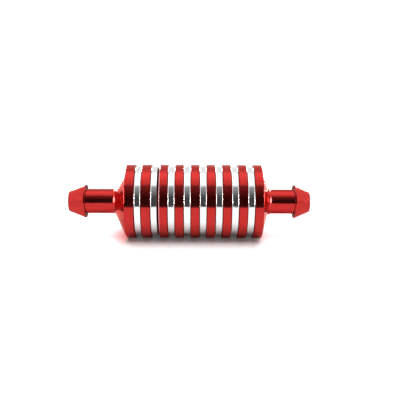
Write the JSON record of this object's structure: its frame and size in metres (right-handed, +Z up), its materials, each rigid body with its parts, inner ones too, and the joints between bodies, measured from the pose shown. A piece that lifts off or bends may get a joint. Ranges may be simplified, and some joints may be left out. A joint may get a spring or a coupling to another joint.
{
  "type": "inline fuel filter",
  "caption": "Inline fuel filter with a ringed screw-together metal body, a hose barb at each end and a washable screen element inside.",
  "frame": {"origin": "centre of the bounding box, on the axis of the turned body", "axes": "+X along the fuel's flow, from the cap's inlet barb to the housing's outlet barb; +Z up as it lies on its side"},
  "size_m": [0.0654, 0.02, 0.02],
  "materials": {
    "red_anodised_cap": "red dyed anodising with bright-cut bare bands in its grooves",
    "red_anodised_housing": "red dyed anodising with bright-cut bare bands in its grooves",
    "fuel_rubber": "matte black fuel-proof rubber",
    "spring_steel": "drawn wire, satin",
    "zinc_plate": "bright zinc plate",
    "element_brass": "turned brass, satin",
    "core_stainless": "punched and rolled stainless sheet",
    "screen_gauze": "fine woven stainless gauze",
    "band_stainless": "crimped stainless band"
  },
  "bodies": {
    "housing": {"outlet_housing": "red_anodised_housing", "outlet_gasket": "fuel_rubber"},
    "seal": {"cap_o_ring": "fuel_rubber"},
    "cap": {"inlet_cap": "red_anodised_cap"},
    "spring": {"element_spring": "spring_steel", "spring_washer": "zinc_plate"},
    "element": {"element_end_disc": "element_brass", "element_core": "core_stainless", "element_screen": "screen_gauze", "inlet_screen_band": "band_stainless", "outlet_screen_band": "band_stainless", "element_collar": "element_brass"}
  },
  "joints": [
    {"name": "cap_off", "type": "slide", "parent": "housing", "child": "seal", "axis": [-1, 0, 0], "range_m": [0, 0.048]},
    {"name": "cap_turn", "type": "hinge", "parent": "seal", "child": "cap", "pos_m": [0, 0, 0], "axis": [-1, 0, 0], "range_deg": [0, 11520]},
    {"name": "spring_out", "type": "slide", "parent": "housing", "child": "spring", "axis": [-1, 0, 0], "range_m": [0, 0.0374]},
    {"name": "element_out", "type": "slide", "parent": "housing", "child": "element", "axis": [-1, 0, 0], "range_m": [0, 0.027]}
  ],
  "couplings": [
    {"joint": "cap_turn", "follows": "cap_off", "rad_per_m": 4188.8},
    {"joint": "spring_out", "follows": "cap_off", "ratio": 0.779},
    {"joint": "element_out", "follows": "cap_off", "ratio": 0.5624}
  ]
}
